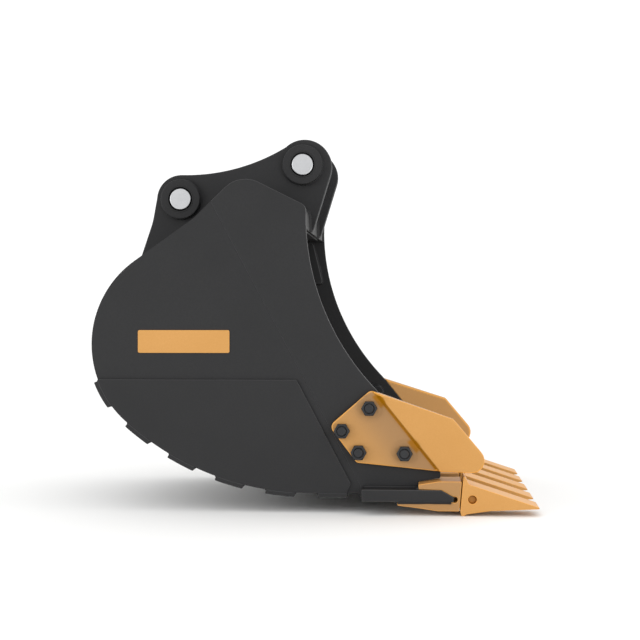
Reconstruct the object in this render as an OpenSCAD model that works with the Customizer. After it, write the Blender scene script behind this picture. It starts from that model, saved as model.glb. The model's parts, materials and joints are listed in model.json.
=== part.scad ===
// Excavator bucket for a 20 to 22 tonne machine, in millimetres.
// The origin is the middle of the stick pin. +X points out of the mouth along the teeth,
// +Z up and +Y to the left side, as seen from behind the bucket looking at its teeth.
// Every outline is drawn as [x, z] and carried across the width by slab().

/* [Pins] */
// Diameter of both pins
pin_d = 80; // [70:1:84]
// Distance from the stick pin back to the link pin
link_back = 461; // [450:1:470]
// Drop from the stick pin to the link pin
link_drop = 128; // [120:1:136]
// Running clearance between a pin and its bush, on the radius
pin_clearance = 0.05; // [0.03:0.01:0.09]

/* [Ears] */
// Gap between the two ears, measured between their bosses
ear_gap = 326; // [300:1:340]
// Thickness of an ear plate
ear_t = 40; // [30:1:45]
// Diameter of a boss
boss_d = 150; // [140:1:156]
// How far a boss stands out of the ear, outboard
boss_out = 25; // [15:1:30]
// How far a boss stands out of the ear, inboard
boss_in = 15; // [10:1:20]

/* [Body] */
// Width over the two side plates
body_w = 1000; // [900:10:1100]
// Thickness of a side plate
side_t = 25; // [20:1:30]
// Thickness of the rolled wrapper
shell_t = 22; // [16:1:25]
// Radius of the back of the wrapper
back_r = 366; // [360:1:370]
// Thickness of the bent plate over the torque box
box_t = 16; // [12:1:20]
// Thickness of a side wear plate
wear_t = 10; // [8:1:14]

/* [Lip and wear strips] */
// Width of the lip
lip_w = 1150; // [1140:5:1170]
// Thickness of the lip
lip_t = 43; // [36:1:46]
// Thickness of a wear strip
strip_t = 15; // [10:1:20]
// Length of a wear strip, round the wrapper
strip_l = 104; // [80:1:120]
// Step from one wear strip to the next
strip_pitch = 188; // [180:1:192]

/* [Teeth] */
// Width of a tooth and of its adapter
tooth_w = 142; // [136:1:144]
// Distance between teeth
tooth_pitch = 250; // [248:1:254]
// Width of the adapter nose inside the tooth
nose_w = 84; // [80:1:88]
// Diameter of a tooth pin
tooth_pin_d = 30; // [26:1:32]
// Length of a tooth pin
tooth_pin_l = 108; // [100:1:110]

/* [Side cutters] */
// Thickness of the bolted part of a side cutter
cutter_t = 25; // [22:1:30]
// Diameter of a cutter bolt
cutter_bolt_d = 33; // [30:1:34]
// Width across the flats of a cutter bolt's head and nut
cutter_bolt_af = 50; // [46:1:52]

/* [Hidden] */
$fn = 96;

LEFT = 1;
RIGHT = -1;
teeth = 5;
strips = 6;

// Paint and steel colours
black = [0.16, 0.16, 0.165];
orange = [0.84, 0.58, 0.27];
steel = [0.78, 0.78, 0.79];
bolt_black = [0.12, 0.12, 0.13];

// Heights and places of the main lines of the side view
origin = [0, 0];
link_pin = [-link_back, -link_drop];
floor_z = -1197;
lip_top = -1174;
lip_rear = 235;
lip_front = 556;
back_c = [-370, -669];
floor_r = 990;
// The floor arc is tangent to the back arc inside it, so their centres lie floor_r - back_r apart
floor_c = let (dz = floor_z + floor_r - back_c.y)
    [back_c.x + sqrt(pow(floor_r - back_r, 2) - dz * dz), floor_z + floor_r];
join_a = 180 + atan2(floor_c.y - back_c.y, floor_c.x - back_c.x);
// Slope of the straight top of the wrapper, above the back arc
rise_a = 35.4;
rise_l = 260;
rise_start = back_c + back_r * [-sin(rise_a), cos(rise_a)];
kink = rise_start + rise_l * [cos(rise_a), sin(rise_a)];
hump = [-202, -57];
mouth_corner = [34, -175];
mouth_c = [926, -209];
mouth_r = 893;
mouth_end_a = 224;
box_inset = 8;
box_floor_z = -228;
box_bottom = -250;
nose_tip = [512, -1113];
seam_top = [-309, -156];
seam_bottom = [230, -1174];

// Cross sizes, measured from the middle plane
side_out = body_w / 2;
side_in = side_out - side_t;
boss_inner = ear_gap / 2;
ear_inner = boss_inner + boss_in;
ear_outer = ear_inner + ear_t;
boss_outer = ear_outer + boss_out;
bush_t = 10;
bush_r = pin_d / 2 + bush_t;
mouth_chamfer = 5;
doubler_t = 20;
name_plate_t = 3;

// Pin flags and their keeper bolts, on the left ear
flag_t = 16;
flag_gap = 3;
flag_y = boss_outer + flag_gap;
keeper_reach = 125;
stick_keeper = keeper_reach * [cos(190), sin(190)];
link_keeper = link_pin + keeper_reach * [cos(16), sin(16)];
keeper_block_w = 50;
keeper_bolt_r = 10;
keeper_bolt_af = 30;
keeper_head_t = 12;
keeper_washer_r = 18;
keeper_washer_t = 3;

// Cutter frame: the edge of the cheek that the cutter guards, and the way out from it
cutter_bolts_at = [[261, -893], [164, -973], [223, -1049], [385, -1052]];
relieved_bolts = [cutter_bolts_at[0], cutter_bolts_at[3]];
cutter_relief_r = 50;
cheek_edge_top = mouth_c + mouth_r * [cos(mouth_end_a), sin(mouth_end_a)];
cutter_a = 90 + atan2(nose_tip.y - cheek_edge_top.y, nose_tip.x - cheek_edge_top.x);
head_t = 21;
nut_t = 26;
washer_t = 4;
washer_r = 30;
// How far a bolt stands out of its nut
bolt_end = 6;

// Tooth places
pin_hole = [622, -1208];
lip_slot_end = [560, -1208];
lip_slot_r = 11;
retainer_r = 22;
retainer_t = 6;

// ---- Outline helpers ----

function unit(v) = v / norm(v);

function arc(c, r, a0, a1, n = 24) =
    [for (i = [0:n]) let (a = a0 + (a1 - a0) * i / n) c + r * [cos(a), sin(a)]];

// Points of an outline that keep a sharp corner
function sharp(points) = [for (p = points) [p.x, p.y, 0]];

// One corner of an outline, rounded to radius r between its neighbours a and c
function corner(a, b, c, r, n = 8) =
    r <= 0 ? [b] :
    let (u = unit(a - b), w = unit(c - b), half = acos(u * w) / 2,
         m = b + unit(u + w) * r / sin(half),
         s = b + u * r / tan(half) - m, e = b + w * r / tan(half) - m,
         a0 = atan2(s.y, s.x), turn = (atan2(e.y, e.x) - a0 + 540) % 360 - 180)
    [for (i = [0:n]) m + r * [cos(a0 + turn * i / n), sin(a0 + turn * i / n)]];

// An outline given as [x, z, corner radius]
function rounded(points) =
    let (k = len(points), xz = [for (p = points) [p.x, p.y]])
    [for (i = [0:k - 1]) each corner(xz[(i + k - 1) % k], xz[i], xz[(i + 1) % k], points[i][2])];

function backwards(points) = [for (i = [len(points) - 1:-1:0]) points[i]];

// Where the line through p along u crosses the line through q along v
function meet(p, u, q, v) = p + u * ((q.x - p.x) * v.y - (q.y - p.y) * v.x) / (u.x * v.y - u.y * v.x);

// A path moved d to its right, seen along its travel
function inset(path, d) =
    let (k = len(path), u = [for (i = [0:k - 2]) unit(path[i + 1] - path[i])],
         s = [for (v = u) d * [v.y, -v.x]])
    [path[0] + s[0], for (i = [1:k - 2]) meet(path[i] + s[i - 1], u[i - 1], path[i] + s[i], u[i]),
     path[k - 1] + s[k - 2]];

// Carries an outline across the width from y0 to y1
module slab(y0, y1) {
    translate([0, y1, 0]) rotate([90, 0, 0]) linear_extrude(y1 - y0) children();
}

// A round bar along Y at the point c of the side view
module bar(c, r, y0, y1) {
    translate([c.x, y1, c.y]) rotate([90, 0, 0]) cylinder(r = r, h = y1 - y0);
}

// A hexagon along Y, with two flats level
module hex_bar(c, af, y0, y1) {
    translate([c.x, y1, c.y]) rotate([90, 0, 0]) cylinder(d = af / cos(30), h = y1 - y0, $fn = 6);
}

// Builds the left piece, or its mirror image on the right
module on_side(side) {
    if (side == LEFT) children();
    else mirror([0, 1, 0]) children();
}

// ---- Side view outlines ----

// Lines of the wrapper at depth d under its outer face: from the torque box round the back,
// then along the floor to the lip
function back_line(d) =
    let (u = [cos(rise_a), sin(rise_a)], top = [0, box_floor_z - d],
         bend = meet(back_c + (back_r - d) * [-u.y, u.x], u, top, [1, 0]))
    rounded(concat(
        sharp([[mouth_corner.x - box_inset - box_t, top.y]]),
        [[bend.x, bend.y, 80 - d]],
        sharp(arc(back_c, back_r - d, 90 + rise_a, join_a, 36))));
function floor_line(d) =
    concat(arc(floor_c, floor_r - d, join_a, 270, 30), [[lip_rear, floor_z + d]]);
function wrapper_line(d) = concat(back_line(d), floor_line(d));

box_path = [kink, hump, mouth_corner, [mouth_corner.x, box_bottom]];

// Line of the bent plate that closes the torque box, at depth d under its outer face
function box_line(d) =
    let (p = inset(box_path, box_inset + d))
    rounded([[p[0].x, p[0].y, 0], [p[1].x, p[1].y, 100 - d], [p[2].x, p[2].y, max(26 - d, 4)],
             [p[3].x, p[3].y, 0]]);

// Everything inside the outer faces of the wrapper and the torque box
module body_fill() {
    under = box_line(box_t);
    polygon(wrapper_line(0));
    polygon(concat(box_line(0), [under[len(under) - 1], under[0]]));
}

// Whole side of the bucket: back, floor, lip seat, nose, mouth and top
side_outline = rounded(concat(
    sharp(arc(back_c, back_r, 90 + rise_a, join_a, 36)),
    sharp(arc(floor_c, floor_r, join_a, 270, 30)),
    sharp([[lip_rear, floor_z], [lip_rear, lip_top], [434, lip_top]]),
    [[434, -1154, 0], [512, -1141, 6], [nose_tip.x, nose_tip.y, 12]],
    sharp(backwards(arc(mouth_c, mouth_r, 181, mouth_end_a, 32))),
    [[mouth_corner.x, mouth_corner.y, 30], [hump.x, hump.y, 105], [kink.x, kink.y, 60]]));

// The half plane in front of the seam between side plate and cheek
module ahead_of_seam() {
    polygon([seam_top + [-200, 378], seam_top, seam_bottom, seam_bottom + [0, -100],
             [900, -1300], [900, 300]]);
}

// The ear, drawn down into the body, which trims its foot
ear_outline = concat(
    [[-640, -440]],
    rounded([[-655, -465, 0], [-570, -212, 300], [-553.1, -118, 0]]),
    arc(link_pin, 93, 172, 94),
    arc([-438, 692.5], 727.5, 268.5, 301),
    arc([6, -7], 103, 128, -17, 32),
    corner([104.5, -37.2], [39, box_bottom], [0, box_bottom], 16),
    [[mouth_corner.x - box_inset, box_bottom], [12, box_bottom + 10], [-200, -300]]);

// ---- Body ----

// The wrapper is rolled from two plates
module shell_back() {
    color(black) slab(-side_in, side_in) polygon(concat(back_line(0), backwards(back_line(shell_t))));
}

module shell_floor() {
    color(black) slab(-side_in, side_in) polygon(concat(floor_line(0), backwards(floor_line(shell_t))));
}

// Rolled and bent plate over the top of the torque box
module torque_box_plate() {
    color(black) slab(-side_in, side_in) difference() {
        polygon(concat(box_line(0), backwards(box_line(box_t))));
        polygon(wrapper_line(0));
    }
}

module side_plate(side) {
    color(black) on_side(side) slab(side_in, side_out) difference() {
        polygon(side_outline);
        ahead_of_seam();
    }
}

module cutter_bolt_holes() {
    for (b = cutter_bolts_at)
        bar(b, cutter_bolt_d / 2 + 1, side_in - 20, side_out + 200);
}

// Front part of the side, from the seam to the mouth, drilled for the side cutter
module side_cheek(side) {
    color(black) on_side(side) difference() {
        slab(side_in, side_out) intersection() {
            polygon(side_outline);
            ahead_of_seam();
        }
        cutter_bolt_holes();
    }
}

module side_wear_plate(side) {
    edge = rounded([[-900, -794, 0], [1, -794, 8], [195, -1163, 16], [182, -1187, 16],
                    [182, -1250, 0], [-900, -1250, 0]]);
    color(black) on_side(side) slab(side_out, side_out + wear_t) intersection() {
        polygon(side_outline);
        polygon(edge);
    }
}

// Flat plate inside the corner where the torque box meets the side
module corner_doubler(side) {
    color(black) on_side(side) slab(side_in - doubler_t, side_in) polygon(rounded([
        [-150, -256, 10], [-14, -256, 20], [29, -432, 12], [-60, -432, 30]]));
}

module name_plate(side) {
    color(orange) on_side(side) slab(side_out, side_out + name_plate_t) polygon(rounded([
        [-568, -618, 6], [-239, -618, 6], [-239, -699, 6], [-568, -699, 6]]));
}

// ---- Ears and pin joints ----

module ear(side) {
    color(black) on_side(side) difference() {
        slab(ear_inner, ear_outer) difference() {
            polygon(ear_outline);
            body_fill();
        }
        bar(origin, boss_d / 2, 0, ear_outer + 10);
        bar(link_pin, boss_d / 2, 0, ear_outer + 10);
    }
}

module boss(at, side) {
    color(black) on_side(side) difference() {
        bar(at, boss_d / 2, boss_inner, boss_outer);
        bar(at, bush_r, boss_inner - 1, boss_outer + 1);
    }
}

// Hardened bush, with its outboard mouth chamfered to lead the pin in
module bush(at, side) {
    r = pin_d / 2 + pin_clearance;
    color(black) on_side(side) translate([at.x, 0, at.y]) rotate([-90, 0, 0]) rotate_extrude()
        polygon([[r, boss_inner], [bush_r, boss_inner], [bush_r, boss_outer],
                 [r + mouth_chamfer, boss_outer], [r, boss_outer - mouth_chamfer]]);
}

// Blocks on the left ear that the keeper bolts screw into
module keeper_blocks() {
    w = keeper_block_w / 2;
    color(black) for (k = [stick_keeper, link_keeper]) difference() {
        slab(ear_outer, boss_outer) polygon(rounded([
            [k.x - w, k.y - w, 6], [k.x + w, k.y - w, 6], [k.x + w, k.y + w, 6], [k.x - w, k.y + w, 6]]));
        bar(k, keeper_bolt_r + 0.1, ear_outer + 2, boss_outer + 5);
    }
}

// A pin with a flag welded to its left end, drilled for the keeper bolt
module pin_with_flag(at, keeper) {
    color(steel) difference() {
        union() {
            bar(at, pin_d / 2, -boss_outer + 1, flag_y + flag_t);
            slab(flag_y, flag_y + flag_t) flag_outline(at, keeper);
        }
        bar(keeper, keeper_bolt_r + 1, boss_outer, flag_y + flag_t + 5);
    }
}

// A disc round the pin and a disc round the bolt, joined by their outer tangents
module flag_outline(at, keeper) {
    big = 56;
    small = 27;
    towards = atan2(keeper.y - at.y, keeper.x - at.x);
    open = acos((big - small) / keeper_reach);
    polygon(concat(arc(at, big, towards + open, towards + 360 - open, 36),
                   arc(keeper, small, towards - open, towards + open, 16)));
}

module keeper_bolt(at) {
    face = flag_y + flag_t;
    under_head = face + keeper_washer_t;
    color(bolt_black) {
        bar(at, keeper_bolt_r, ear_outer + 6, face + 1);
        bar(at, keeper_washer_r, face, under_head);
        hex_bar(at, keeper_bolt_af, under_head, under_head + keeper_head_t);
    }
}

// ---- Lip and strips ----

lip_outline = [[lip_rear, lip_top], [514, lip_top - 1], [lip_front, lip_top - 25],
               [lip_front, lip_top - lip_t], [lip_rear, lip_top - lip_t]];

module lip() {
    color(black) slab(-lip_w / 2, lip_w / 2) polygon(lip_outline);
}

// Angle on an arc of radius r that a length l takes up
function turn_of(l, r) = l / r * 180 / PI;

// Angles of the rear ends of the first strip, on the back arc, and of the second, which starts
// just past the join of the arcs
first_strip_a = 201;
second_strip_a = 228.7;

module strip_on_arc(c, r, a0, turn) {
    slab(-side_out - wear_t, side_out + wear_t) difference() {
        polygon(concat(arc(c, r + strip_t, a0, a0 + turn, 6), arc(c, r - 12, a0 + turn, a0, 6)));
        polygon(wrapper_line(0));
    }
}

module wear_strip(i) {
    step = turn_of(strip_pitch, floor_r + strip_t);
    width = turn_of(strip_l, floor_r + strip_t);
    color(black)
    if (i == 1) strip_on_arc(back_c, back_r, first_strip_a, turn_of(strip_l, back_r + strip_t));
    else if (i < strips) strip_on_arc(floor_c, floor_r, second_strip_a + (i - 2) * step, width);
    else translate([77, -side_out - wear_t, floor_z - strip_t])
        cube([strip_l, 2 * (side_out + wear_t), strip_t]);
}

// ---- Teeth ----

function tooth_y(i) = (i - (teeth + 1) / 2) * tooth_pitch;

// Nose of the adapter, grown by g to make the pocket of the tooth
function nose_outline(g) = [[570, -1164 + g], [708 + g, -1192 + g], [708 + g, -1222 - g],
                            [570, -1236 - g]];

module adapter(i) {
    y = tooth_y(i);
    color(orange) translate([0, y, 0]) difference() {
        union() {
            slab(-tooth_w / 2, tooth_w / 2) polygon([
                [434, lip_top], [434, lip_top + 18], [505, lip_top + 29], [585, lip_top + 29],
                [576, -1249], [503, -1249], [427, -1238], [360, -1230], [360, lip_top - lip_t]]);
            slab(-nose_w / 2, nose_w / 2) polygon(nose_outline(0));
        }
        slab(-tooth_w, tooth_w) polygon(lip_outline);
        bar(lip_slot_end, lip_slot_r, -tooth_w, tooth_w);
        bar(pin_hole, tooth_pin_d / 2 + pin_clearance, -tooth_w, tooth_w);
        bar(pin_hole, retainer_r + 0.1, nose_w / 2 - retainer_t, tooth_w);
    }
}

module tooth(i) {
    y = tooth_y(i);
    color(orange) translate([0, y, 0]) difference() {
        slab(-tooth_w / 2, tooth_w / 2) polygon([
            [589, -1146], [592, -1129], [597, -1129], [609, -1154], [853, -1234], [856, -1238],
            [851, -1240], [685, -1247], [602, -1259], [592, -1265], [584, -1265], [580, -1249]]);
        slab(-nose_w / 2 - 1, nose_w / 2 + 1) polygon(nose_outline(1));
        bar(pin_hole, tooth_pin_d / 2 + pin_clearance, -tooth_w, tooth_w);
    }
}

module tooth_pin(i) {
    half = tooth_pin_l / 2;
    color(orange) bar(pin_hole, tooth_pin_d / 2, tooth_y(i) - half, tooth_y(i) + half);
}

// Spring rings in the left side of each nose
module tooth_pin_retainers() {
    color(bolt_black) for (i = [1:teeth]) difference() {
        bar(pin_hole, retainer_r, tooth_y(i) + nose_w / 2 - retainer_t, tooth_y(i) + nose_w / 2);
        bar(pin_hole, tooth_pin_d / 2 + pin_clearance, tooth_y(i), tooth_y(i) + nose_w);
    }
}

// ---- Side cutters ----

cutter_outline = rounded([
    [264, -830, 22], [555, -926, 20], [716, -1117, 45], [505, -1115, 30], [216, -1086, 16],
    [118, -957, 25]]);

// Section across the cutter, as [distance out from the cheek's edge, y]. The wing laps the front
// of the cheek, stands proud of the bolted part and flares outboard to its edge.
cutter_section = [
    [-500, side_out], [1, side_out], [1, side_in + 3], [170, side_out + 68], [170, side_out + 93],
    [-4, side_out + cutter_t + 16], [-4, side_out + cutter_t], [-500, side_out + cutter_t]];

module side_cutter(side) {
    color(orange) on_side(side) difference() {
        intersection() {
            slab(side_in, side_out + 120) polygon(cutter_outline);
            translate([cheek_edge_top.x, 0, cheek_edge_top.y]) rotate([0, -cutter_a, 0])
                linear_extrude(1200, center = true) polygon(cutter_section);
        }
        cutter_bolt_holes();
        for (b = relieved_bolts)
            bar(b, cutter_relief_r, side_out + cutter_t, side_out + 200);
    }
}

// The bolts come through from inside, and their ends stand a little out of the nuts
module cutter_bolts(side) {
    face = side_in - washer_t;
    color(bolt_black) on_side(side) for (b = cutter_bolts_at) {
        hex_bar(b, cutter_bolt_af, face - head_t, face);
        bar(b, cutter_bolt_d / 2, face - 1, side_out + cutter_t + nut_t + bolt_end);
    }
}

module cutter_nuts(side) {
    face = side_out + cutter_t;
    color(bolt_black) on_side(side) for (b = cutter_bolts_at) difference() {
        hex_bar(b, cutter_bolt_af, face, face + nut_t);
        bar(b, cutter_bolt_d / 2, face - 1, face + nut_t + 1);
    }
}

module cutter_washers() {
    color(bolt_black) for (side = [LEFT, RIGHT]) on_side(side) for (b = cutter_bolts_at) difference() {
        bar(b, washer_r, side_in - washer_t, side_in);
        bar(b, cutter_bolt_d / 2 + 1, side_in - washer_t - 1, side_in + 1);
    }
}

// ---- Nodes ----

shell_back();
shell_floor();
side_plate(LEFT);  // side_plate_left
side_plate(RIGHT);  // side_plate_right
side_cheek(LEFT);  // side_cheek_left
side_cheek(RIGHT);  // side_cheek_right
torque_box_plate();
ear(LEFT);  // ear_left
ear(RIGHT);  // ear_right
boss(origin, LEFT);  // stick_boss_left
boss(origin, RIGHT);  // stick_boss_right
boss(link_pin, LEFT);  // link_boss_left
boss(link_pin, RIGHT);  // link_boss_right
bush(origin, LEFT);  // stick_bush_left
bush(origin, RIGHT);  // stick_bush_right
bush(link_pin, LEFT);  // link_bush_left
bush(link_pin, RIGHT);  // link_bush_right
keeper_blocks();
pin_with_flag(origin, stick_keeper);  // stick_pin
keeper_bolt(stick_keeper);  // stick_pin_keeper_bolt
pin_with_flag(link_pin, link_keeper);
keeper_bolt(link_keeper);  // link_pin_keeper_bolt
lip();
for (i = [1:teeth]) {
    adapter(i);
    tooth(i);
    tooth_pin(i);
}
tooth_pin_retainers();
for (i = [1:strips])
    wear_strip(i);
side_wear_plate(LEFT);  // side_wear_plate_left
side_wear_plate(RIGHT);  // side_wear_plate_right
corner_doubler(LEFT);  // corner_doubler_left
corner_doubler(RIGHT);  // corner_doubler_right
side_cutter(LEFT);  // side_cutter_left
side_cutter(RIGHT);  // side_cutter_right
cutter_bolts(LEFT);  // cutter_bolts_left
cutter_bolts(RIGHT);  // cutter_bolts_right
cutter_nuts(LEFT);  // cutter_nuts_left
cutter_nuts(RIGHT);  // cutter_nuts_right
cutter_washers();
name_plate(LEFT);  // name_plate_left
name_plate(RIGHT);  // name_plate_right
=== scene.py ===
# %% [markdown]
# # Excavator bucket
# A digging bucket is a welded box of thick plate with cast and forged wear parts on its front.
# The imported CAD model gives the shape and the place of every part. This script gives each part
# what a real one has besides its size: rounded plate edges, weld beads, turned pins, chamfered
# nuts, cast cutters, and painted or bare steel.

# %% The frame
import json
import math

import bpy
import numpy as np
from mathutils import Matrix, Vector
from mathutils.geometry import delaunay_2d_cdt, tessellate_polygon

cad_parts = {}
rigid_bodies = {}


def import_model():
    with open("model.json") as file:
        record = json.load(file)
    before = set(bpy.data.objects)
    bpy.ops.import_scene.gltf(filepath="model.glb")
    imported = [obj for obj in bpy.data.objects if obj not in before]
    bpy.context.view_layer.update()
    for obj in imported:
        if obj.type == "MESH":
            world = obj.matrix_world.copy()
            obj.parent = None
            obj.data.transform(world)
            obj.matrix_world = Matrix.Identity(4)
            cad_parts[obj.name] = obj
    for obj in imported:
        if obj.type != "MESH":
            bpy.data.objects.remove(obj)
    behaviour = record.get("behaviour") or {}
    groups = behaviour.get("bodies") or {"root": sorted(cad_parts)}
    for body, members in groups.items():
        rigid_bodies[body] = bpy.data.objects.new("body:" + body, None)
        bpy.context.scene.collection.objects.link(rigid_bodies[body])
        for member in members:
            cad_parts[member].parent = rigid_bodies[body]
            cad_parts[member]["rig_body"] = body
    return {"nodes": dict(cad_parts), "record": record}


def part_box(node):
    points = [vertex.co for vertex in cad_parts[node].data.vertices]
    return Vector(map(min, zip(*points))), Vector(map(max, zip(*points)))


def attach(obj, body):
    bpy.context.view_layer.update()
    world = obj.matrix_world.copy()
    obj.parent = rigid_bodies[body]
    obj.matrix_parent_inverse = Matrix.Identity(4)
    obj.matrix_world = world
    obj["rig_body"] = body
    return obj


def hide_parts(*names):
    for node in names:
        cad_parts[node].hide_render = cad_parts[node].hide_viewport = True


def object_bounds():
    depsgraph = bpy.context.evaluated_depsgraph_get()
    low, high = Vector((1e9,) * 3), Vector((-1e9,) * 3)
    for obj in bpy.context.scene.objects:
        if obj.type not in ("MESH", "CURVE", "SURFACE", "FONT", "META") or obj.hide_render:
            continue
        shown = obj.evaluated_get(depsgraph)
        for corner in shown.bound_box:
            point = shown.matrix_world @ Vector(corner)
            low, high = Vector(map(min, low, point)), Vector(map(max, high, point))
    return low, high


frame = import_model()
cad_box = [list(corner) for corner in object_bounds()]
MM = 0.001

# %% [markdown]
# ## Camera
# The bucket is seen square from its right side with a 75 mm lens, from five metres. The camera
# stands in front of the mouth, level with its middle, so the far side shows past the near one.
# It turns a little towards the bucket, and a small shift does the rest of the framing.

# %% Camera
camera_data = bpy.data.cameras.new("camera")
camera_data.lens = 75.0
camera_data.sensor_width = 36.0
camera_data.shift_x = -0.05
camera = bpy.data.objects.new("camera", camera_data)
camera.location = (0.418, -5.228, -0.5535)
camera.rotation_euler = (math.radians(90 - 0.34), 0, math.radians(2.66))
bpy.context.scene.collection.objects.link(camera)
bpy.context.scene.camera = camera
print("camera:", tuple(round(v, 3) for v in camera.location), "lens", camera_data.lens, "mm")

# %% [markdown]
# ## Nodes and colours
# Colours are written as the sRGB hex values a painter would give, and one function turns them
# into the linear values that the renderer works in. One more function adds a shader node with
# its settings and its links.

# %% Node and colour helpers
def linear(hex_colour):
    """sRGB hex such as "3E3E3F" to linear RGBA: ((c + 0.055) / 1.055) ** 2.4 above the toe."""
    c = np.array([int(hex_colour[i:i + 2], 16) for i in (0, 2, 4)]) / 255.0
    rgb = np.where(c <= 0.04045, c / 12.92, ((c + 0.055) / 1.055) ** 2.4)
    return (*rgb.tolist(), 1.0)


def add_node(tree, kind, inputs=None, **settings):
    """Adds a node. Each input is a number, a colour or another node's output to link."""
    made = tree.nodes.new(kind)
    for name, value in settings.items():
        setattr(made, name, value)
    for name, value in (inputs or {}).items():
        socket = next(i for i in made.inputs if i.enabled and name in (i.name, i.identifier)) \
            if isinstance(name, str) else made.inputs[name]
        if isinstance(value, bpy.types.NodeSocket):
            tree.links.new(value, socket)
        else:
            socket.default_value = value
    return made


def new_material(name):
    """An empty material, its node tree and its shader."""
    material = bpy.data.materials.new(name)
    material.use_nodes = True
    tree = material.node_tree
    return material, tree, tree.nodes["Principled BSDF"]


def per_metre(size_mm):
    """Scale of a texture whose features are size_mm across."""
    return 1000.0 / size_mm


print("mid grey, linear:", round(linear("808080")[0], 3))

# %% [markdown]
# ## Paint
# The bucket is sprayed with two-pack enamel: black on the fabricated body, orange on the cast
# wear parts. The eye sees an even satin skin with soft, wide highlights, a very fine orange peel
# and a little dust. A single colour would look like plastic, so slow noise mixes in a second
# colour and moves the roughness, and a fine bump breaks up the highlights. Painted shade on some
# faces, painted shade in inside corners and painted highlights along edges and on top faces are
# written on the mesh as attributes, because those places follow the shape of a piece and noise doesn't.

# %% Satin enamel
PATCH_MM, SPECK_MM, STAIN_MM = 260, 6, 35
# Orange peel: 2.2 mm wide and 0.03 mm high
PEEL_MM, PEEL_HEIGHT = 2.2, 0.03 * MM


def enamel(name, hexes, roughness, gloss_level):
    """Sprayed satin paint on steel: nearly even colour, a fine orange peel, dust in patches.

    hexes are the main colour, its dusty patches, and the colours that three attributes of a
    piece bring in, each from 0 to 1: "painted_shade", a darker colour painted where a face is to
    look shaded, "painted_corner_shade", a deeper colour painted as shade in inside corners, and
    "painted_highlight", a lighter colour painted as a highlight on edges and top faces.
    """
    hex_main, hex_worn = hexes[:2]
    material, tree, shader = new_material(name)
    shader.inputs["Specular IOR Level"].default_value = gloss_level
    place = add_node(tree, "ShaderNodeTexCoord").outputs["Object"]
    patches = add_node(tree, "ShaderNodeTexNoise",
                       {"Vector": place, "Scale": per_metre(PATCH_MM), "Detail": 4.0,
                        "Roughness": 0.55})
    specks = add_node(tree, "ShaderNodeTexNoise",
                      {"Vector": place, "Scale": per_metre(SPECK_MM), "Detail": 5.0, "Roughness": 0.65})
    both = add_node(tree, "ShaderNodeMath", {0: patches.outputs["Fac"], 1: specks.outputs["Fac"]},
                    operation="MULTIPLY")
    share = add_node(tree, "ShaderNodeMapRange",
                     {"Value": both.outputs["Value"], "From Min": 0.14, "From Max": 0.42})
    colour = add_node(tree, "ShaderNodeMix",
                      {"Factor": share.outputs["Result"], "A": linear(hex_main), "B": linear(hex_worn)},
                      data_type="RGBA")
    base = colour.outputs["Result"]
    # Painted light from three attributes: painted shade, painted shade in inside corners, painted
    # highlight
    for attribute, hex_there in zip(("painted_shade", "painted_corner_shade", "painted_highlight"), hexes[2:]):
        where = add_node(tree, "ShaderNodeAttribute", attribute_name=attribute)
        mixed = add_node(tree, "ShaderNodeMix",
                         {"Factor": where.outputs["Fac"], "A": base, "B": linear(hex_there)},
                         data_type="RGBA")
        base = mixed.outputs["Result"]
    tree.links.new(base, shader.inputs["Base Color"])
    gloss = add_node(tree, "ShaderNodeMapRange",
                     {"Value": patches.outputs["Fac"], "From Min": 0.3, "From Max": 0.7,
                      "To Min": roughness - 0.04, "To Max": roughness + 0.05})
    tree.links.new(gloss.outputs["Result"], shader.inputs["Roughness"])
    peel_noise = add_node(tree, "ShaderNodeTexNoise",
                          {"Vector": place, "Scale": per_metre(PEEL_MM), "Detail": 2.0})
    bump = add_node(tree, "ShaderNodeBump",
                    {"Height": peel_noise.outputs["Fac"], "Distance": PEEL_HEIGHT})
    tree.links.new(bump.outputs["Normal"], shader.inputs["Normal"])
    return material


# Black: close to neutral, low gloss, so plates stay dark and flat under soft light. Its last
# three colours are painted shade, painted shade in inside corners and a painted edge highlight
black_enamel = enamel("black_satin_enamel",
                      ("242425", "29292A", "1E1E1F", "151516", "4A4A4B"), 0.55, 0.22)
# Orange: a warm ochre, a little glossier, painted deep amber as shade in inside corners
orange_enamel = enamel("orange_satin_enamel",
                       ("BD8A4A", "C39051", "9A754C", "9A6402", "EBA84E"), 0.42, 0.25)
print("paints:", black_enamel.name, orange_enamel.name)

# %% [markdown]
# ## Bare and blackened steel
# The hinge pins are ground and left bare: a pale metal with fine rings round the bar and a few
# duller patches. Nuts, bolts and retaining rings are black oxide steel, which is nearly black
# with a sharper shine than paint. Grinding marks run round the bar, so their noise is squeezed to
# change along Y only. Real marks are about 0.1 mm apart, too fine to show, so they are drawn
# 1.5 mm apart.

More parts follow.
